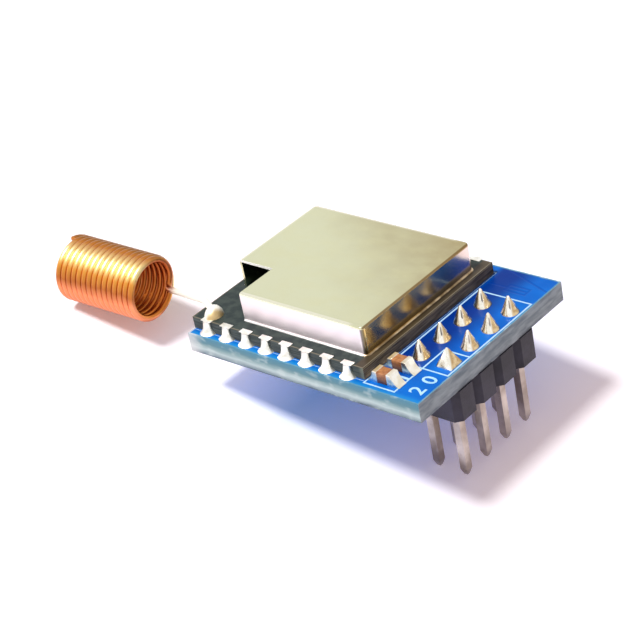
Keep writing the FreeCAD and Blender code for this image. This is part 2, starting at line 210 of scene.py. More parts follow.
# %% Helpers for a finish
def ink(red, green, blue):
    """A linear colour from one written as a screen shows it."""
    return tuple(((v / 255 + 0.055) / 1.055) ** 2.4 if v > 10 else v / 3295
                 for v in (red, green, blue))


class Finish:
    """A material under way: its shader, and the place on the piece in millimetres."""

    def __init__(self, name, colour, rough, metal=0.0, **others):
        self.material = bpy.data.materials.new(name)
        self.material.use_nodes = True
        self.material.diffuse_color = (*colour, 1)
        self.tree = self.material.node_tree
        self.shader = self.tree.nodes["Principled BSDF"]
        self.set("Base Color", colour)
        self.set("Roughness", rough)
        self.set("Metallic", metal)
        for title, value in others.items():
            self.set(title.replace("_", " ").title().replace("Ior", "IOR"), value)
        place = self.tree.nodes.new("ShaderNodeTexCoord").outputs["Object"]
        self.at = Field(self.tree, place) * 1000.0

    def set(self, socket, value):
        target = self.shader.inputs[socket]
        Field(self.tree, None).plug(target, value)

    def emboss(self, height, depth, strength=1.0):
        """A bump whose height of 1 stands depth millimetres proud."""
        inputs = {"Height": height, "Distance": depth * MM, "Strength": strength}
        self.set("Normal", height.node("ShaderNodeBump", {}, inputs))


def wear(node, finish):
    """Give a CAD node its finish."""
    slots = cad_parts[node].material_slots
    for slot in slots:
        slot.material = finish.material


# %% [markdown]
# ## The carrier board
# The carrier is glass-fibre board 1.6 mm thick. Blue solder mask covers both faces and
# stops just short of the sawn edges, where the pale fibre shows. White lines are printed
# round the header, the two capacitors and the module. All of that lies flat on one solid,
# so it is a pattern and not geometry: each line is the distance from a rectangle's outline.

# %% Distances that a board pattern needs
def outline_of(x, y, left, right, front, back):
    """Distance in millimetres from the outline of a rectangle."""
    aside = (x - (left + right) / 2).size() - (right - left) / 2
    along = (y - (front + back) / 2).size() - (back - front) / 2
    return aside.most(along).size()


def depth_inside(x, y, low, high):
    """How far inside a board's edges a place is, in millimetres."""
    aside = (high.x - low.x) / 2 - (x - (low.x + high.x) / 2).size()
    along = (high.y - low.y) / 2 - (y - (low.y + high.y) / 2).size()
    return aside.least(along)


# %% [markdown]
# Each printed box is its left, right, front and back in millimetres. The least of the
# distances from all of them is the distance from the nearest line, and a little noise makes
# the border of the ink ragged. The mask itself ends a hair inside the board's outline.

# %% Place the lines and the mask
board_low, board_high = (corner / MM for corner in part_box("carrier_board"))
deck = board_high.z
print("carrier board, mm:", board_low, board_high)
blue = Finish("blue_solder_mask", ink(0, 100, 196), 0.34, specular_ior_level=0.06)
at = blue.at
x, y, z = at.part("X"), at.part("Y"), at.part("Z")

HEADER_BOX = (-2.78, 2.12, -5.10, 5.35)
MODULE_BOX = (-20.4, -3.0, -8.24, 8.04)
PRINTED_BOXES = ((-0.18, 2.12, -5.10, -2.45), (-3.0, -0.2, -8.4, -6.7), (-3.0, -0.2, -6.6, -5.10))
line_away = outline_of(x, y, *HEADER_BOX)
for box in PRINTED_BOXES:
    line_away = line_away.least(outline_of(x, y, *box))
line_away = line_away.least(outline_of(x, y, *MODULE_BOX) + 0.045)
ragged = at.speckle(7.0, 2.0) * 0.05
printed = 1 - (line_away + ragged).rise(0.065, 0.12)

on_top = z.past(deck)
half_thick = (board_high.z - board_low.z) / 2
faces = (z - (board_low.z + half_thick)).size().past(half_thick)
inside = depth_inside(x, y, board_low, board_high)
masked = (inside - at.speckle(3.0, 2.0) * 0.08).rise(0.05, 0.14)
skin = faces * masked

# %% [markdown]
# The mask isn't one flat blue. It is cloudy, navy beside the module, where painted shade and a
# painted reflection of the can darken it, cyan along the near edge, and a little darker over the
# copper tracks that run beneath it.

# %% Colour the mask
cloudy = at.speckle(0.3, 2.0)
track_away = (y - 6.6).size().most(x - 0.9).least(outline_of(x, y, -0.9, 0.9, 6.2, 7.0))
track_away = track_away.least((y + x * 0.35 - 8.0).size().most((x - 1.6).size() - 4.0))
track = 1 - track_away.rise(0.06, 0.14)
mask_colour = cloudy.rise(0.3, 0.7).blend(ink(0, 84, 178), ink(4, 104, 198))
# Painted shade and a painted reflection of the can: the mask turns navy beside the module.
painted_shade_and_reflection = x.rise(-3.4, -2.6) * (1 - x.rise(-1.4, 1.0)) * y.rise(-8.0, -5.0)
mask_colour = (painted_shade_and_reflection * 0.8).blend(mask_colour, ink(2, 26, 112))
mask_colour = (track * 0.4).blend(mask_colour, ink(0, 58, 150))
near_edge = 1 - y.rise(board_low.y + 0.1, board_low.y + 0.75)
mask_colour = (near_edge * 0.6).blend(mask_colour, ink(38, 146, 206))
mask_colour = (printed * on_top).blend(mask_colour, ink(176, 212, 238))

# %% [markdown]
# A sawn edge shows the layers of glass cloth: dark at the foot, pale in the middle and blue-green
# under the mask. The right edge is greyer than the others and the left end is paler. Mask and
# edges then meet in one finish.

# %% Colour the sawn edges and finish the board
weave = at.speckle(1.5, 4.0, (0.4, 0.4, 1.8))
fleck = at.speckle(0.8, 2.0, (1, 1, 1.8)).rise(0.5, 0.7)
up = (z - board_low.z) / (board_high.z - board_low.z)
glass = (up + (weave - 0.5) * 0.25).ramp(
    (0.0, ink(96, 108, 124)), (0.12, ink(146, 162, 170)), (0.32, ink(192, 206, 208)),
    (0.52, ink(150, 174, 178)), (0.7, ink(108, 144, 156)), (1.0, ink(92, 142, 166)))
fibre = (fleck * 0.45).blend(glass, ink(212, 222, 222))
left_end = 1 - x.rise(board_low.x + 0.1, board_low.x + 1.6)
fibre = (left_end * 0.6).blend(fibre, ink(238, 232, 232))
on_right = x.past(board_high.x)
sawn = weave.rise(0.3, 0.7).blend(ink(132, 134, 142), ink(178, 178, 184))
fibre = (on_right * 0.85).blend(fibre, sawn)
blue.set("Base Color", skin.blend(fibre, mask_colour))
blue.set("Roughness", 0.66 - skin * 0.34)
blue.emboss(printed * on_top * 0.7 - track * 0.4 + weave * (1 - faces) * 0.5, 0.02)
wear("carrier_board", blue)
print("blue mask:", len(blue.tree.nodes), "shader nodes")

# %% [markdown]
# ## The module board
# The radio module is a board of its own, under black mask. Its front and back sides are
# grey-green, with a paler painted highlight where they reach the right corner, and its right side
# is browner, with a thin bright line along the top, where the copper layer shows. Fibre shows on
# the sides as noise stretched along them.

# %% Black solder mask over brown fibre
module_low, module_high = (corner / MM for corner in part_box("module_board"))
print("module board, mm:", module_low, module_high)
black = Finish("black_solder_mask", ink(30, 34, 32), 0.4, specular_ior_level=0.16)
at = black.at
x, y, z = at.part("X"), at.part("Y"), at.part("Z")
inside = depth_inside(x, y, module_low, module_high)
top = z.past(module_high.z)
rim = (1 - inside.rise(0.05, 0.12)) * top
layers = at.speckle(1.6, 5.0, (0.35, 0.35, 6))
brown = layers.rise(0.3, 0.75).blend(ink(64, 55, 48), ink(126, 112, 98))
grey = layers.rise(0.3, 0.75).blend(ink(58, 64, 64), ink(90, 96, 93))
# A painted highlight: the front and back sides turn paler towards the right corner.
painted_corner_highlight = x.rise(module_high.x - 0.5, module_high.x - 0.1)
grey = (painted_corner_highlight * 0.5).blend(grey, ink(140, 142, 122))
on_side = x.past(module_high.x)
side_colour = on_side.blend(grey, brown)
bright_layer = (1 - (z - (module_high.z - 0.1)).size().rise(0.02, 0.06)) * (1 - top)
side_colour = (bright_layer * on_side * 0.6).blend(side_colour, ink(178, 160, 130))
mask_colour = at.speckle(1.4, 4.0).rise(0.35, 0.65).blend(ink(30, 42, 42), ink(52, 62, 58))
right_strip = x.rise(module_high.x - 0.9, module_high.x - 0.7)
strip_colour = at.speckle(0.8).blend(ink(50, 40, 30), ink(84, 72, 56))
mask_colour = right_strip.blend(mask_colour, strip_colour)
mask_colour = (rim * 0.7).blend(mask_colour, ink(132, 122, 102))
black.set("Base Color", top.blend(side_colour, mask_colour))
black.set("Roughness", 0.6 - top * 0.26)
black.emboss(layers * (1 - top) + at.speckle(4.0) * 0.15, 0.03)
wear("module_board", black)
print("black mask:", len(black.tree.nodes), "shader nodes")

# %% [markdown]
# ## Metals
# Each metal gets a slow change of tone and a fine grain in its roughness, because clean
# metal with one roughness looks like grey paint.

# %% A metal with a tone that wanders
def metal_finish(name, dark, light, rough, grain, scale, dents=0.02):
    """Metal between two tones; grain is how far its roughness changes."""
    finish = Finish(name, light, rough, 1.0)
    slow = finish.at.speckle(scale, 3.0)
    fine = finish.at.speckle(scale * 12, 4.0)
    finish.set("Base Color", slow.rise(0.3, 0.7).blend(dark, light))
    finish.set("Roughness", fine * grain + (rough - grain / 2))
    finish.emboss(fine * 0.3 + slow, dents, 0.35)
    return finish


# %% [markdown]
# The solder round the header pins is painted pale on its front left side, a painted highlight, and
# tan on the other, a painted shade. The pins stand in the middles of the cells of a square grid,
# so a place wrapped to one cell says on which side of its pin it is.

# %% Solder, pins and tinned ends
PIN_PITCH = 2.54
solder = metal_finish("solder_metal", ink(222, 208, 178), ink(252, 246, 230), 0.2, 0.12, 1.6)
from_pin = solder.at.part("X").wrap(PIN_PITCH) + solder.at.part("Y").wrap(PIN_PITCH) - PIN_PITCH
mottle = solder.at.speckle(2.4, 3.0).rise(0.3, 0.7)
# Painted highlight on the front left of each cone, and painted shade in tan on the other side.
painted_lit_solder = mottle.blend(ink(240, 234, 218), ink(255, 253, 246))
painted_shaded_solder = mottle.blend(ink(184, 152, 104), ink(226, 200, 158))
solder.set("Base Color", (from_pin + mottle * 0.1).rise(0.05, 0.3).blend(painted_lit_solder, painted_shaded_solder))
bright = metal_finish("bright_solder", ink(232, 228, 218), ink(252, 251, 246), 0.34, 0.12, 1.6)
pins = metal_finish("pin_metal", ink(146, 134, 126), ink(200, 190, 183), 0.3, 0.14, 0.5)
tinned = metal_finish("tinned_end", ink(232, 222, 200), ink(252, 248, 240), 0.3, 0.12, 1.5)
crystal = metal_finish("crystal_lid", ink(196, 190, 178), ink(220, 214, 200), 0.3, 0.1, 0.6)
print("metals:", [finish.material.name for finish in (solder, bright, pins, tinned, crystal)])

# %% [markdown]
# The shield can is tin-plated sheet. Its top turns a darker yellow tan towards the back right, a
# painted reflection, over a little random tone. It has a painted highlight along the border of its
# top, fine scratches, and slow dents that bend what it reflects.

# %% Tin plate of the shield can
can_low, can_high = (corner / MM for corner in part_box("shield_can"))
can = Finish("shield_can_metal", ink(222, 220, 184), 0.16, 1.0)
at = can.at
x, y, z = at.part("X"), at.part("Y"), at.part("Z")
to_right = (x - can_low.x) / (can_high.x - can_low.x)
to_back = (y - can_low.y) / (can_high.y - can_low.y)
# Painted reflection: the top darkens towards the back right, with some random tone on it.
painted_reflection_and_tone = to_right * 0.5 + to_back * 0.5 + (at.speckle(0.22, 3.0) - 0.5) * 0.35
clouds = at.speckle(0.5, 4.0, (1, 1.6, 1))
plate = painted_reflection_and_tone.rise(0.35, 1.1).blend(ink(219, 220, 186), ink(176, 160, 116))
plate = (clouds.rise(0.35, 0.75) * 0.25).blend(plate, ink(220, 216, 168))
at_border = depth_inside(x, y, can_low, can_high).rise(0.35, 0.2)
# Painted highlight along the border of the top, left off on the right.
painted_rim_highlight = (1 - (can_high.z - z).rise(0.05, 0.3)) * at_border
painted_rim_highlight = painted_rim_highlight * (1 - x.rise(can_high.x - 1.5, can_high.x - 0.6))
plate = (painted_rim_highlight * 0.6).blend(plate, ink(244, 240, 224))
scratches = at.speckle(5.0, 4.0, (0.25, 6, 1))

# %% [markdown]
# The sides of the can differ. The front is matt, and painted pale pink-white, a painted reflection
# of the floor. The right face is a mirror that shows the solder cones beside it, and its colour is
# painted reflection as well: bronze at the front, greyer further back, pink-white at the back end
# and brown along its rim, with painted shade where it folds round the front corner. `CUT_X` and
# `CUT_Y` are where the sheet ends at the cut-away corner, and that edge is bare and bright.

# %% Sides and cut edge of the can
CUT_X, CUT_Y = -15.83, -2.85
below_rim = 1 - z.rise(can_high.z - 0.25, can_high.z - 0.12)
front_face = (1 - y.rise(can_low.y + 0.02, can_low.y + 0.12)) * below_rim
right_face = x.rise(can_high.x - 0.02, can_high.x + 0.06) * below_rim
on_cut = 1 - (y - CUT_Y).size().rise(SKIN / 2, SKIN)
cut_edge = on_cut * (1 - x.rise(CUT_X - 0.02, CUT_X + 0.03)) * z.rise(7.3, 7.34)
# Painted reflection of the floor: the front face is pale pink-white.
plate = front_face.blend(plate, ink(250, 238, 240))
# Painted reflection on the right face: bronze, greyer further back, pink-white at the back end.
painted_side_reflection = clouds.blend(ink(186, 156, 98), ink(222, 192, 132))
painted_side_reflection = y.rise(-1.5, 2.0).blend(painted_side_reflection, ink(172, 158, 134))
painted_side_reflection = y.rise(3.0, 6.2).blend(painted_side_reflection, ink(230, 216, 212))
plate = right_face.blend(plate, painted_side_reflection)
# Painted shade where the right face folds round the front corner.
painted_corner_shade = x.rise(can_high.x - 0.22, can_high.x - 0.1) * below_rim
painted_corner_shade = painted_corner_shade * (1 - y.rise(can_low.y + 0.16, can_low.y + 0.3))
plate = (painted_corner_shade * 0.8).blend(plate, ink(58, 44, 30))
# Painted reflection: a brown line along the right rim.
painted_rim_reflection = x.rise(can_high.x - 0.06, can_high.x + 0.02) * (1 - below_rim)
plate = (painted_rim_reflection * 0.9).blend(plate, ink(132, 104, 66))
can.set("Base Color", cut_edge.blend(plate, ink(255, 255, 250)))
can.set("Roughness", scratches * 0.08 + clouds * 0.08 + front_face * 0.3 + cut_edge * 0.4 + 0.1)
can.emboss(at.speckle(0.35, 2.0) + scratches * 0.012, 0.06, 0.5)
wear("shield_can", can)
print("can:", len(can.tree.nodes), "shader nodes, from", can_low, "to", can_high)

# %% [markdown]
# ## Plastic, ceramic and resin
# The header is moulded in black nylon with a fine matt grain. The capacitors are fired
# ceramic, a warm brown that darkens to the foot, with darker specks. The chips are matt
# black resin.

# %% Plastic, ceramic and resin
plastic = Finish("header_plastic", ink(46, 43, 54), 0.46, specular_ior_level=0.25)
grain = plastic.at.speckle(9.0, 4.0)
nylon = plastic.at.speckle(0.5).rise(0.3, 0.7).blend(ink(38, 35, 46), ink(58, 53, 68))
plastic.set("Base Color", nylon)
plastic.set("Roughness", grain * 0.15 + 0.36)
plastic.emboss(grain, 0.012)
wear("header_insulator", plastic)

ceramic = Finish("capacitor_ceramic", ink(166, 106, 62), 0.36)
at = ceramic.at
fired = at.speckle(2.5).rise(0.3, 0.7).blend(ink(146, 88, 48), ink(190, 128, 80))
fired = at.part("Z").rise(deck - 0.1, deck + 0.85).blend(ink(92, 62, 48), fired)
specks = at.speckle(11.0, 2.0).rise(0.6, 0.7)
ceramic.set("Base Color", (specks * 0.4).blend(fired, ink(96, 54, 30)))
ceramic.set("Roughness", at.speckle(14.0) * 0.15 + 0.28)
ceramic.emboss(at.speckle(14.0), 0.008)

resin = Finish("chip_resin", ink(40, 40, 42), 0.5)
resin.set("Base Color", resin.at.speckle(6.0).blend(ink(32, 32, 34), ink(52, 52, 54)))
resin.emboss(resin.at.speckle(20.0), 0.01)

# %% [markdown]
# The name of a node says what it is, so the small parts are dressed in one pass.

# %% Dress the small parts
SMALL_PARTS = (("header_pin", pins), ("module_joint", solder), ("header_joint", solder),
               ("antenna_joint", solder), ("capacitor_", ceramic), ("filter_part", ceramic),
               ("transceiver_chip", resin), ("antenna_switch", resin), ("crystal", crystal))
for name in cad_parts:
    for start, finish in SMALL_PARTS:
        if name.startswith(start):
            wear(name, tinned if name.endswith("_end") else finish)
print("finishes so far:", len(bpy.data.materials))

# %% [markdown]
# ## Helpers for new pieces
# A primitive comes out selected, together with whatever was selected before it, so each
# one starts from nothing selected. Faces, edges and points are picked by their place. A
# finished piece keeps its place in its mesh and its object at the origin, as the CAD nodes
# do.

# %% Start, pick and settle a piece
def start_piece(kind, name, **settings):
    """Add a primitive by name and settings, alone in the selection."""
    bpy.ops.object.select_all(action="DESELECT")
    getattr(bpy.ops.mesh, f"primitive_{kind}_add")(**settings)
    bpy.context.object.name = name
    return bpy.context.object


def freeze():
    """Put the piece's place, turn and scale into its mesh."""
    bpy.ops.object.transform_apply(location=True, rotation=True, scale=True)


def block(name, middle, sides):
    """A block to work on, by its middle and its sides in millimetres."""
    piece = start_piece("cube", name, size=MM, location=Vector(middle) * MM, scale=sides)
    freeze()
    return piece


def pick(piece, wanted, kind="VERT"):
    """In edit mode, select the points, edges or faces whose middle wanted(place) accepts."""
    bpy.ops.object.mode_set(mode="EDIT")
    bpy.ops.mesh.select_mode(type=kind)
    bpy.ops.mesh.select_all(action="DESELECT")
    bpy.ops.object.mode_set(mode="OBJECT")
    points = piece.data.vertices
    if kind == "VERT":
        for point in points:
            point.select = wanted(point.co)
    elif kind == "EDGE":
        for edge in piece.data.edges:
            start, end = (points[index].co for index in edge.vertices)
            edge.select = wanted((start + end) / 2)
    else:
        for face in piece.data.polygons:
            face.select = wanted(face.center)
    bpy.ops.object.mode_set(mode="EDIT")


def pick_all():
    bpy.ops.object.mode_set(mode="EDIT")
    bpy.ops.mesh.select_all(action="SELECT")


def settle(smooth=35):
    """Leave edit mode, put the piece's place into its mesh and smooth it."""
    bpy.ops.object.mode_set(mode="OBJECT")
    freeze()
    bpy.ops.object.shade_smooth_by_angle(angle=math.radians(smooth))


# %% [markdown]
# Sharp edges catch no light, so most pieces get a small bevel. What repeats is modelled once and
# copied, each copy with a mesh of its own. A finished piece is handed over with its finish, and
# the CAD nodes that it stands for are hidden.

# %% Round, copy and hand over a piece
def round_edges(piece, width, segments=3, angle=30):
    """Bevel the sharp edges and apply it."""
    bevel = piece.modifiers.new("rounding", "BEVEL")
    bevel.width = width * MM
    bevel.segments = segments
    bevel.angle_limit = math.radians(angle)
    bpy.ops.object.modifier_apply(modifier=bevel.name)


def copy_to(piece, name, place, turn=0.0):
    """A copy with its own mesh, turned about Z and then moved, in millimetres."""
    twin = piece.copy()
    twin.data = piece.data.copy()
    twin.name = name
    twin.data.transform(Matrix.Translation(Vector(place) * MM) @ Matrix.Rotation(turn, 4, "Z"))
    bpy.context.collection.objects.link(twin)
    return twin


def hand_over(piece, finish, slot, *nodes):
    """Dress a piece, let it ride on the body and hide the nodes that it stands for."""
    piece.data.materials.clear()
    piece.data.materials.append(finish.material)
    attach(piece, "root")
    if nodes:
        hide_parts(*nodes)


# %% [markdown]
# ## Solder on the header pins
# Molten solder climbs a pin and pulls in on its way up, so each cone is round at its foot,
# and has four soft ridges near the top and a slightly hollow flank. The cone is a disc,
# extruded upward ring by ring; the upper rings are then drawn in between the ridges.

# %% Raise one cone, ring by ring
FOOT = 0.725
SOLDER_TALL = 1.4
CONE_RINGS = ((0.05, 0.99), (0.16, 0.90), (0.34, 0.77), (0.56, 0.64), (0.80, 0.50),
              (1.04, 0.36), (1.24, 0.24), (1.37, 0.14), (SOLDER_TALL, 0.07))


def raise_rings(rings):
    """Extrude the selected disc through (height, share of the foot's radius) pairs."""
    last_height, last_share = 0.0, 1.0
    for height, share in rings:
        rise = (0, 0, (height - last_height) * MM)
        bpy.ops.mesh.extrude_region_move(TRANSFORM_OT_translate={"value": rise})
        ratio = share / last_share
        bpy.ops.transform.resize(value=(ratio, ratio, 1))
        last_height, last_share = height, share


def flute(piece, ridges, depth):
    """Draw the rings in between a number of ridges, more towards the top."""
    for point in piece.data.vertices:
        up = min(point.co.z / MM / SOLDER_TALL, 1)
        angle = math.atan2(point.co.y, point.co.x)
        pull = 1 - depth * up * (1 - abs(math.cos(ridges / 2 * angle)) ** 1.5)
        point.co.x *= pull
        point.co.y *= pull


cone = start_piece("circle", "cone_pattern", vertices=48, radius=FOOT * MM, fill_type="NGON")
pick_all()
raise_rings(CONE_RINGS)
settle()
flute(cone, 4, 0.34)
print("cone:", len(cone.data.polygons), "faces", cone.dimensions / MM)

# %% [markdown]
# Pin 1 has a square pad, so its solder is a pyramid. It starts from the same disc as the
# cones, and its rings are then pushed out towards a square, less and less on the way up.

# %% Raise the pyramid of pin 1
PYRAMID_RINGS = ((0.05, 0.99), (0.3, 0.82), (0.6, 0.62), (0.9, 0.43), (1.15, 0.27),
                 (1.34, 0.14), (SOLDER_TALL, 0.07))
pyramid = start_piece("circle", "pyramid_pattern", vertices=48, radius=FOOT * MM, fill_type="NGON")
pick_all()
raise_rings(PYRAMID_RINGS)
settle()
for point in pyramid.data.vertices:
    widest = max(abs(point.co.x), abs(point.co.y), 1e-9)
    round_share = point.co.to_2d().length / widest
    square_share = 0.9 - 0.35 * point.co.z / MM / SOLDER_TALL
    pull = 1 + (round_share - 1) * square_share
    point.co.x *= pull
    point.co.y *= pull
print("pyramid:", len(pyramid.data.polygons), "faces", pyramid.dimensions / MM)

# %% [markdown]
# Each pin gets a copy, row by row from the front, and the right pin of a row before the
# left one. The first pin gets the pyramid. Each cone is turned a quarter turn further than
# the one before: its ridges fall in the same places, and only its finest glints change.

# %% Put the cones on their pins
for row in range(4):
    for column, x in enumerate((PIN_PITCH / 2, -PIN_PITCH / 2)):
        number = row * 2 + column + 1
        pattern = pyramid if number == 1 else cone
        place = (x, (row - 1.5) * PIN_PITCH, deck)
        turn = 0.0 if number == 1 else math.pi / 2 * (number % 4)
        joint = copy_to(pattern, f"header_solder_{number}", place, turn)
        hand_over(joint, solder, "solder", f"header_joint_{number}")
        print(joint.name, "at", [round(value, 2) for value in place])
bpy.data.objects.remove(cone)
bpy.data.objects.remove(pyramid)

# %% [markdown]
# ## Solder on the module's notches
# Each half-round notch in the edge of the module board is plated, with a small pad on top,
# and solder fills it. From the notch it runs down and out over the carrier's pad. The foot
# is half of a turned form, so it is raised ring by ring like a cone and bisected at the
# board's edge; the filled notch and the pad are added to the same mesh. Bisect counts
# points within 0.1 mm of its plane as lying on it, so the fill there isn't quite closed,
# and it differs by a few faces from run to run.

# %% Model one filled notch
NOTCH_FOOT = 0.72
NOTCH_RADIUS = 0.285
FILLED_TALL = 1.02
FILLET_RINGS = ((0.05, 0.93), (0.12, 0.80), (0.24, 0.66), (0.40, 0.56), (0.60, 0.49),
                (0.82, 0.44), (0.97, 0.41))
notch = start_piece("circle", "notch_foot", vertices=32, radius=NOTCH_FOOT * MM,
                    fill_type="NGON")
pick_all()
raise_rings(FILLET_RINGS)
bpy.ops.mesh.select_all(action="SELECT")
bpy.ops.mesh.bisect(plane_co=(0, 0.01 * MM, 0), plane_no=(0, 1, 0), use_fill=True,
                    clear_outer=True)
settle()
bar = start_piece("cylinder", "notch_bar", vertices=24, radius=NOTCH_RADIUS * MM,
                  depth=FILLED_TALL * MM, location=(0, 0, FILLED_TALL / 2 * MM))
settle()
plated = block("notch_pad", (0, 0.1, 1.015), (1.02, 0.5, 0.05))
round_edges(plated, 0.02, 2)
settle()
notch.select_set(True)
bar.select_set(True)
bpy.context.view_layer.objects.active = notch
bpy.ops.object.join()
settle()
print("filled notch:", len(notch.data.polygons), "faces", notch.dimensions / MM)

# %% [markdown]
# Eight notches are in the front edge and eight in the back edge, where the copy is turned
# half round.

# %% Put solder in all sixteen notches
FIRST_NOTCH = 1.5
NOTCH_PITCH = 2
for count in range(8):
    x = module_low.x + FIRST_NOTCH + NOTCH_PITCH * count
    front = copy_to(notch, f"notch_solder_{count + 1}", (x, module_low.y, deck))
    hand_over(front, bright, "solder", f"module_joint_{count + 1}")
    back = copy_to(notch, f"notch_solder_{count + 9}", (x, module_high.y, deck), math.pi)
    hand_over(back, bright, "solder", f"module_joint_{count + 9}")
bpy.data.objects.remove(notch)
print("notches from", module_low.x + FIRST_NOTCH, "to", x)

# %% [markdown]
# ## The shield can
# The solid of the can has generous corners. The real sheet is folded tighter, so the can is
# made again over it: a block with its upright edges and then its rim bevelled, and its
# underside taken off.

# %% Fold the can
CORNER = 0.4
RIM = 0.16
WIDER = 0.12
shell_low, shell_high = can_low.copy(), can_high + Vector((WIDER, 0, 0))
shell = block("can_shell", (shell_low + shell_high) / 2, shell_high - shell_low)
half_way = (shell_low.z + shell_high.z) / 2 * MM
pick(shell, lambda place: abs(place.z - half_way) < 0.1 * MM, "EDGE")
bpy.ops.mesh.bevel(offset=CORNER * MM, segments=5, affect="EDGES")
pick(shell, lambda place: place.z > (shell_high.z - 0.01) * MM, "EDGE")
bpy.ops.mesh.bevel(offset=RIM * MM, segments=3, affect="EDGES")
pick(shell, lambda place: place.z < (shell_low.z + 0.01) * MM, "FACE")
bpy.ops.mesh.delete(type="FACE")
print("closed lid:", len(shell.data.polygons), "faces", shell.dimensions / MM)

# %% [markdown]
# Two bisections mark the cut-away corner, whose faces are deleted. Solidify gives the skin
# that is left the thickness of the sheet, inwards, and weighted normals keep the flat faces
# flat mirrors beside their rounded edges.

# %% Cut its corner away and give it thickness
SHEET = 0.2
bpy.ops.mesh.select_all(action="SELECT")
bpy.ops.mesh.bisect(plane_co=(CUT_X * MM, 0, 0), plane_no=(1, 0, 0))
bpy.ops.mesh.select_all(action="SELECT")
bpy.ops.mesh.bisect(plane_co=(0, CUT_Y * MM, 0), plane_no=(0, 1, 0))
pick(shell, lambda place: place.x < CUT_X * MM and place.y < CUT_Y * MM, "FACE")
bpy.ops.mesh.delete(type="FACE")
bpy.ops.object.mode_set(mode="OBJECT")
sheet = shell.modifiers.new("sheet", "SOLIDIFY")
sheet.thickness = SHEET * MM
sheet.offset = -1
bpy.ops.object.modifier_apply(modifier=sheet.name)
settle(30)
even = shell.modifiers.new("even_faces", "WEIGHTED_NORMAL")
even.keep_sharp = True
bpy.ops.object.modifier_apply(modifier=even.name)
hand_over(shell, can, "can_metal", "shield_can")
print("can with its corner cut away:", len(shell.data.polygons), "faces")

# %% [markdown]
# ## The solder line round the shield can
# A thin line of solder runs round the foot of the can. It is a bead: a small ring of points
# drawn along the foot and spun round each corner, so it follows the can exactly and stops
# at both ends of the cut-away corner.

# %% Run the bead round the can
BEAD = 0.1
BEAD_OUT = 0.02
left, right = shell_low.x - BEAD_OUT, shell_high.x + BEAD_OUT
near, far = shell_low.y - BEAD_OUT, shell_high.y + BEAD_OUT
begin = Vector((CUT_X + 0.03, near, module_high.z))
bead = start_piece("circle", "can_seam", vertices=10, radius=BEAD * MM, fill_type="NGON",
                   location=begin * MM, rotation=(0, math.pi / 2, 0))
pick_all()


def draw_out(x, y):
    bpy.ops.mesh.extrude_region_move(TRANSFORM_OT_translate={"value": (x * MM, y * MM, 0)})


def turn_left(x, y):
    """Spin the selected end a quarter turn about a corner's middle."""
    middle = Vector((x, y, module_high.z)) * MM
    bpy.ops.mesh.spin(steps=6, angle=-math.pi / 2, center=middle, axis=(0, 0, 1))


draw_out(right - CORNER - begin.x, 0)
turn_left(right - CORNER, near + CORNER)
draw_out(0, far - near - 2 * CORNER)
turn_left(right - CORNER, far - CORNER)
draw_out(left - right + 2 * CORNER, 0)
turn_left(left + CORNER, far - CORNER)
draw_out(0, CUT_Y - far + CORNER)
bpy.ops.mesh.select_all(action="SELECT")
bpy.ops.mesh.remove_doubles(threshold=0.000001)
bpy.ops.mesh.normals_make_consistent(inside=False)
settle()
print("bead:", len(bead.data.polygons), "faces", bead.dimensions / MM)

# %% [markdown]
# The bead is pale along the front and brown along the right side.

# %% Finish the bead
seam = Finish("seam_solder", ink(250, 244, 238), 0.34, 1.0)
to_right = seam.at.part("X").rise(can_high.x - 0.3, can_high.x - 0.1)
worn = seam.at.speckle(1.2, 3.0)
seam_right = worn.rise(0.35, 0.65).blend(ink(140, 118, 88), ink(206, 184, 152))
seam_front = worn.rise(0.3, 0.7).blend(ink(236, 228, 226), ink(255, 252, 252))
seam.set("Base Color", to_right.blend(seam_front, seam_right))
seam.set("Roughness", worn * 0.2 + 0.26)
hand_over(bead, seam, "solder")
print("bead finish:", len(seam.tree.nodes), "shader nodes")

# %% [markdown]
# ## The capacitors
# Each capacitor is a ceramic block between two tinned ends, and solder runs from each end
# down to its pad. An end starts as a cube; its outer face is extruded in short steps, each
# lower than the one before, which gives the hollow flank of real solder.

# %% Model one tinned end and its solder
END = 0.35
WIDE = 0.96
TALL = 0.94
FLANK = ((0.04, 0.88), (0.06, 0.76), (0.09, 0.70), (0.11, 0.62), (0.13, 0.5), (0.13, 0.35))
cap = block("end_pattern", (END / 2, 0, TALL / 2), (END, WIDE, TALL))
pick(cap, lambda place: place.x > END * 0.9 * MM)
for out, keep in FLANK:
    bpy.ops.mesh.extrude_region_move(TRANSFORM_OT_translate={"value": (out * MM, 0, 0)})
    bpy.ops.transform.resize(value=(1, 0.985, keep), center_override=(0, 0, 0))
settle()
round_edges(cap, 0.1, 4, 40)
settle()
print("tinned end:", cap.dimensions / MM)

# %% [markdown]
# The solder at the right end of each capacitor runs out further, so what lies beyond the
# block is stretched there. The ceramic between the ends is a bevelled block, a little lower
# and narrower than they are.

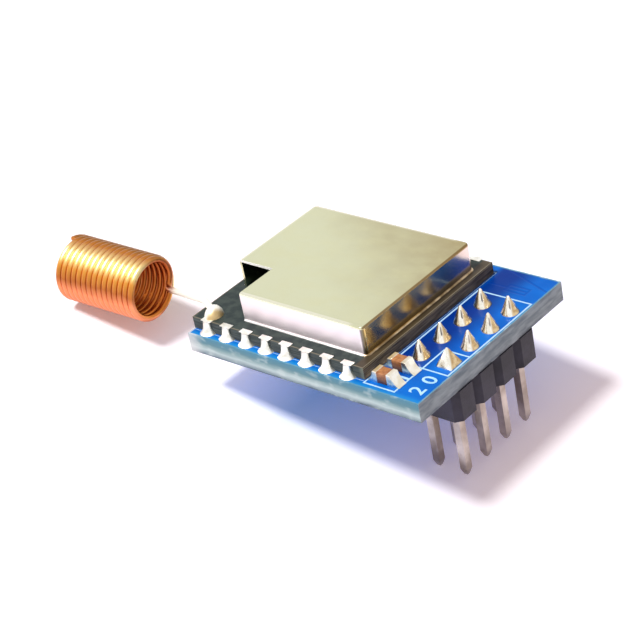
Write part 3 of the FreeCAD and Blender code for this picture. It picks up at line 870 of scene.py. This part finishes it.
# %% Place the ends and the ceramic of both capacitors
CAP_X = -1.58
CAP_LONG = 1.6
STRETCH = 0.28
CERAMIC_LONG, CERAMIC_TALL = 0.96, 0.9
for count, y in ((1, -7.55), (2, -5.75)):
    edge = CAP_LONG / 2 - END
    right_end = copy_to(cap, f"capacitor_solder_{count}_right", (CAP_X + edge, y, deck))
    for point in right_end.data.vertices:
        beyond = point.co.x / MM - CAP_X - CAP_LONG / 2
        point.co.x += max(beyond, 0) * STRETCH * MM
    hand_over(right_end, tinned, "chip_end_metal", f"capacitor_{count}_right_end")
    place = (CAP_X - edge, y, deck)
    left_end = copy_to(cap, f"capacitor_solder_{count}_left", place, math.pi)
    hand_over(left_end, tinned, "chip_end_metal", f"capacitor_{count}_left_end")
    body = block(f"capacitor_body_{count}", (CAP_X, y, deck + CERAMIC_TALL / 2),
                 (CERAMIC_LONG, CERAMIC_TALL, CERAMIC_TALL))
    round_edges(body, 0.05)
    settle()
    hand_over(body, ceramic, "ceramic", f"capacitor_{count}")
    print("capacitor", count, "at", (CAP_X, y), "ceramic", body.dimensions / MM)
bpy.data.objects.remove(cap)

# %% [markdown]
# Two plain numbers are printed beside the capacitors, in the same pale ink as the lines.
# Each is a text object, given a little thickness and made a mesh. A digit is a bit more than
# two thirds of its font's size.

# %% Print the two numbers
NUMBER_TALL = 1.25
FONT_SHARE = 1.4
NUMBER_X = 1.3
INK_THICK = 0.006
white_ink = Finish("white_ink", ink(196, 226, 244), 0.5)
patchy = white_ink.at.speckle(3.0, 3.0)
white_ink.set("Base Color", patchy.blend(ink(116, 186, 228), ink(204, 232, 246)))
for digit, middle_y in (("2", -7.55), ("0", -6.1)):
    bpy.ops.object.select_all(action="DESELECT")
    bpy.ops.object.text_add(rotation=(0, 0, math.pi / 2))
    sign = bpy.context.object
    sign.name = f"printed_number_{digit}"
    sign.data.body = digit
    sign.data.size = NUMBER_TALL * FONT_SHARE * MM
    sign.data.align_x = "CENTER"
    sign.data.align_y = "CENTER"
    sign.data.extrude = INK_THICK * MM
    sign.data.offset = 0.02 * MM
    sign.data.resolution_u = 3
    bpy.ops.object.convert(target="MESH")
    sign.location = Vector((NUMBER_X, middle_y, deck + INK_THICK)) * MM
    pick_all()
    bpy.ops.mesh.remove_doubles(threshold=0.0000005)
    settle()
    hand_over(sign, white_ink, "blue_board")
    print("number", digit, len(sign.data.polygons), "faces", sign.dimensions / MM)

# %% [markdown]
# ## The antenna
# The antenna is one enamelled copper wire, close wound in fifteen turns and drawn in at its open
# end, from where it runs straight to its pad. Its enamel is painted with bands of light and shade
# along the coil: a golden painted highlight high on its front, orange below that, and painted
# shade, redder, inside. They are a ramp over `sunk`, which is how far down and to the front a
# place lies from the coil's middle line. Where the wire was dipped for soldering the enamel is
# gone and the wire is tinned.

# %% Copper wire finish
COIL_END = Vector((-26.53, -5.84, 4.73))
COIL_AXIS = Vector((-8.55, -0.29, 0.18))
COIL_OUTSIDE = 5.5
copper = Finish("copper_wire", ink(222, 140, 74), 0.34, 1.0)
at = copper.at
along = at.part("X") - COIL_END.x
from_axis_y = at.part("Y") - COIL_END.y - along * (COIL_AXIS.y / COIL_AXIS.x)
from_axis_z = at.part("Z") - COIL_END.z - along * (COIL_AXIS.z / COIL_AXIS.x)
sunk = (from_axis_y * -0.324 - from_axis_z * 0.381) / (COIL_OUTSIDE / 2) + 0.5
# Painted light and shade on the outside of the coil: dark on top, a golden painted highlight on
# the front, salmon below.
painted_light_bands = (sunk + (at.speckle(1.2, 3.0) - 0.5) * 0.1).ramp(
    (0.0, ink(136, 92, 46)), (0.12, ink(198, 124, 56)), (0.3, ink(240, 220, 158)),
    (0.42, ink(240, 216, 146)), (0.54, ink(228, 156, 70)), (0.72, ink(182, 104, 52)),
    (0.86, ink(236, 150, 104)), (1.0, ink(222, 134, 92)))
# Painted shade inside the coil.
painted_inner_shade = sunk.blend(ink(176, 88, 44), ink(226, 140, 60))
outside = (from_axis_y * from_axis_y + from_axis_z * from_axis_z).rise(5.2, 6.4)
enamel_and_painted_light = outside.blend(painted_inner_shade, painted_light_bands)
dipped = (at.part("X") + at.speckle(2.0) * 0.4).rise(-26.3, -24.4)
fine = at.speckle(16.0, 4.0)
copper.set("Base Color", dipped.blend(enamel_and_painted_light, ink(255, 252, 238)))
copper.set("Metallic", 1 - dipped * 0.7)
copper.set("Roughness", fine * 0.1 + dipped * 0.2 + 0.28)
copper.emboss(fine, 0.004)
wear("antenna_coil", copper)
print("copper:", len(copper.tree.nodes), "shader nodes")

# %% [markdown]
# A circle the size of the wire is wound with a Screw modifier, in forty steps a turn. It is
# wound along X, and then tilted to the coil's own axis.

# %% Wind the coil
WIRE = 0.55 * MM
PITCH = 0.57 * MM
TURNS = 15
STEPS = 40
coil_end = COIL_END * MM
coil_radius = (COIL_OUTSIDE * MM - WIRE) / 2
last_angle = math.radians(82)
tilt = Vector((-1, 0, 0)).rotation_difference(COIL_AXIS).to_matrix()


def on_coil(angle, radius, along):
    """A point of the wire, by its angle round the coil's middle line."""
    return coil_end + tilt @ Vector((along, radius * math.cos(angle), radius * math.sin(angle)))


first_ring = Vector((0, math.cos(last_angle), math.sin(last_angle))) * coil_radius
winding = start_piece("circle", "antenna_winding", vertices=14, radius=WIRE / 2,
                      fill_type="NOTHING", location=first_ring, rotation=(last_angle, 0, 0))
freeze()
screw = winding.modifiers.new("wind", "SCREW")
screw.axis = "X"
screw.angle = -TURNS * 2 * math.pi
screw.screw_offset = TURNS * PITCH
screw.steps = TURNS * STEPS
screw.render_steps = TURNS * STEPS
screw.use_merge_vertices = False
bpy.ops.object.modifier_apply(modifier=screw.name)
winding.data.transform(Matrix.Translation((-(TURNS + 0.25) * PITCH, 0, 0)))
winding.data.transform(Matrix.Translation(coil_end) @ tilt.to_4x4())
print("winding:", len(winding.data.vertices), "points", winding.dimensions / MM)

# %% [markdown]
# The end ring is picked by its place: it lies nearest to where the last whole turn stops.
# Each bend is the arc that leaves along the wire and reaches a point of the real lead, so
# each arc is tangent to the one before. The first three draw the last quarter turn in.

# %% Draw the last turn in and bend the wire to the lead
def arc_to(here, heading, target, steps):
    """Spin the selected ring round to a target; gives the new heading."""
    chord = target - here
    axle = heading.cross(chord).normalized()
    inward = axle.cross(heading)
    radius = chord.length_squared / (2 * chord.dot(inward))
    angle = 2 * heading.angle(chord)
    bpy.ops.mesh.spin(steps=steps, angle=-angle, center=here + inward * radius, axis=axle)
    return Matrix.Rotation(angle, 3, axle) @ heading


here = on_coil(last_angle, coil_radius, -0.25 * PITCH)
around = Vector((PITCH / (2 * math.pi * coil_radius), math.sin(last_angle), -math.cos(last_angle)))
heading = tilt @ around.normalized()
pick(winding, lambda place: (place - here).length < WIRE * 0.52)
for share in (1 / 3, 2 / 3, 1):
    angle = last_angle - share * math.pi / 2
    target = on_coil(angle, coil_radius - 0.8 * MM * share ** 2, (share - 1) * 0.25 * PITCH)
    heading = arc_to(here, heading, target, 5)
    here = target

# %% [markdown]
# The lead lies on the module board, so it is one wire's radius and a little above it. The
# tight bend ends where its tangent points at the place where the lead crosses the board's
# edge.

# %% Bend the wire towards its pad
PAD_X, PAD_Y = -18.63, -7.2
LEAD_HEIGHT = 5.495
pad_place = Vector((PAD_X, PAD_Y, LEAD_HEIGHT)) * MM
edge_place = Vector((-20.405, -6.3, LEAD_HEIGHT)) * MM
BEND = 0.6 * MM
across_bend = heading.cross(edge_place - here).normalized()
middle = here + across_bend.cross(heading) * BEND
away = edge_place - middle
lean = math.acos(BEND / away.length)
touch = middle + (Matrix.Rotation(-lean, 3, across_bend) @ away.normalized()) * BEND
arc_to(here, heading, touch, 12)
print("wire leaves its bend at", touch / MM)

# %% [markdown]
# The rest is two straight extrusions. Both ends of the tube are filled, and the normals are
# made to point outwards, because a spin can turn them inside out.

# %% Run the lead to its pad and close the wire
bpy.ops.mesh.extrude_region_move(TRANSFORM_OT_translate={"value": edge_place - touch})
bpy.ops.mesh.extrude_region_move(TRANSFORM_OT_translate={"value": pad_place - edge_place})
bpy.ops.mesh.select_all(action="DESELECT")
bpy.ops.mesh.select_non_manifold()
bpy.ops.mesh.fill_holes(sides=0)
bpy.ops.mesh.select_all(action="SELECT")
bpy.ops.mesh.remove_doubles(threshold=0.000001)
bpy.ops.mesh.normals_make_consistent(inside=False)
settle(40)
hand_over(winding, copper, "copper_wire", "antenna_coil")
print("antenna:", len(winding.data.polygons), "faces", winding.dimensions / MM)

# %% [markdown]
# The lead ends in a mound of solder on the antenna's pad. It is a disc, wider across the
# pad than along it, raised ring by ring, with each ring pushed a little towards the wire
# that it holds.

# %% Solder on the antenna's pad
MOUND_FOOT = 0.85
MOUND_TALL = 0.74
MOUND_RINGS = ((0.04, 0.99), (0.14, 0.95), (0.30, 0.86), (0.46, 0.73), (0.58, 0.58),
               (0.67, 0.41), (0.72, 0.24), (MOUND_TALL, 0.1))
mound = start_piece("circle", "antenna_solder", vertices=36, radius=MOUND_FOOT * MM,
                    fill_type="NGON")
pick_all()
raise_rings(MOUND_RINGS)
settle(50)
for point in mound.data.vertices:
    up = point.co.z / MM / MOUND_TALL
    point.co.x = point.co.x * 0.86 - 0.12 * MM * up
    point.co.y = point.co.y * 0.98 + 0.10 * MM * up
mound.data.transform(Matrix.Translation(Vector((PAD_X, PAD_Y, module_high.z)) * MM))
print("mound:", len(mound.data.polygons), "faces", mound.dimensions / MM)

# %% [markdown]
# The mound is matt and pale, with painted shade in tan on its right flank.

# %% Finish the mound
mound_finish = metal_finish("mound_solder", ink(240, 232, 214), ink(255, 252, 244), 0.45, 0.1, 1.6)
# Painted shade: the mound's right flank is tan.
shaded = (mound_finish.at.part("X") - mound_finish.at.part("Y") * 0.5).rise(-14.95, -14.5)
painted_tan_shade = mound_finish.at.speckle(2.2).blend(ink(176, 146, 96), ink(222, 196, 146))
mound_finish.set("Base Color", shaded.blend(ink(254, 250, 240), painted_tan_shade))
mound_finish.set("Metallic", 0.6)
hand_over(mound, mound_finish, "solder", "antenna_joint")

# %% [markdown]
# ## The floor and the light
# The board stands on its header pins and on the far end of its antenna, so it leans. The CAD frame
# keeps the board level, and the floor leans instead, through the tips of the inner pins. It is
# white to the camera and keeps the shadow. Its glow for the camera carries a tint along X, painted
# bounce light that shows only in the shadow: warm under the antenna, blue under the boards and
# pink under the pins. Far away the tint gives way to plain white.

# %% A white floor under pins and coil
tip = Vector((-PIN_PITCH / 2, 0, -5.6)) * MM
floor_lean = math.atan2(0.221, 0.975)
floor = start_piece("plane", "studio_floor", size=1.6, location=tip,
                    rotation=(0, floor_lean, 0))
white = bpy.data.materials.new("white_floor")
white.use_nodes = True
tree = white.node_tree
tree.nodes.clear()
first = Field(tree, None)
paint = first.node("ShaderNodeBsdfDiffuse", {}, {"Color": (0.88, 0.86, 0.9)})
seen = first.node("ShaderNodeLightPath", {}, {}, "Is Camera Ray")
seen = seen.most(first.node("ShaderNodeLightPath", {}, {}, "Is Glossy Ray"))
place = first.node("ShaderNodeTexCoord", {}, {}, "Object") * 1000.0
to_right = (place.part("X") + 30) / 48
# Painted bounce light: a tint along X that shows in the shadow.
painted_bounce_tint = to_right.ramp(
    (0.0, (0.2, 0.14, 0.13)), (0.13, (0.3, 0.22, 0.24)), (0.22, (0.36, 0.34, 0.42)),
    (0.27, (0.24, 0.26, 0.4)), (0.37, (0.05, 0.1, 0.2)), (0.56, (0.16, 0.15, 0.26)),
    (0.84, (0.36, 0.21, 0.15)))
far_x, far_y = place.part("X") + 14, place.part("Y")
far_away = (far_x * far_x + far_y * far_y).rise(45 ** 2, 110 ** 2)
shown = far_away.blend(painted_bounce_tint, (1, 1, 1))
glow = first.node("ShaderNodeEmission", {}, {"Color": shown, "Strength": seen})
both = first.node("ShaderNodeAddShader", {}, {0: paint, 1: glow})
last = tree.nodes.new("ShaderNodeOutputMaterial")
tree.links.new(both.socket, last.inputs["Surface"])
floor.data.materials.append(white)
print("floor leans", round(math.degrees(floor_lean), 1), "degrees through", tip / MM)

# %% [markdown]
# One round lamp stands almost overhead, a little to the front. It gives the shape, and a
# shadow with a fairly firm edge. An even white surround fills the rest. The lamp's power is
# worked out from its share of the light, so that a colour comes out about as it is written.

# %% Lamp and white surround
KEY_SHARE = 0.8
SURROUND_SHARE = 0.4
toward = Vector((-0.14, -0.35, 0.925)).normalized()
centre = Vector((-12, 0, 3)) * MM
distance = 1.0
bpy.ops.object.select_all(action="DESELECT")
bpy.ops.object.light_add(type="AREA", location=centre + toward * distance)
lamp = bpy.context.object
lamp.name = "window_light"
lamp.data.shape = "DISK"
lamp.data.size = 0.2
lamp.data.energy = KEY_SHARE * 4 * math.pi * distance ** 2
lamp.rotation_euler = toward.to_track_quat("Z", "Y").to_euler()
print("lamp power", round(lamp.data.energy, 2), "W")

surround = bpy.data.worlds.new("white_surround")
bpy.context.scene.world = surround
surround.use_nodes = True
tree = surround.node_tree
first = Field(tree, None)
seen = first.node("ShaderNodeLightPath", {}, {}, "Is Camera Ray")
seen = seen.most(first.node("ShaderNodeLightPath", {}, {}, "Is Glossy Ray"))
background = tree.nodes["Background"]
background.inputs["Color"].default_value = (1, 1, 1, 1)
strength = seen * (1 - SURROUND_SHARE) + SURROUND_SHARE
tree.links.new(strength.socket, background.inputs["Strength"])
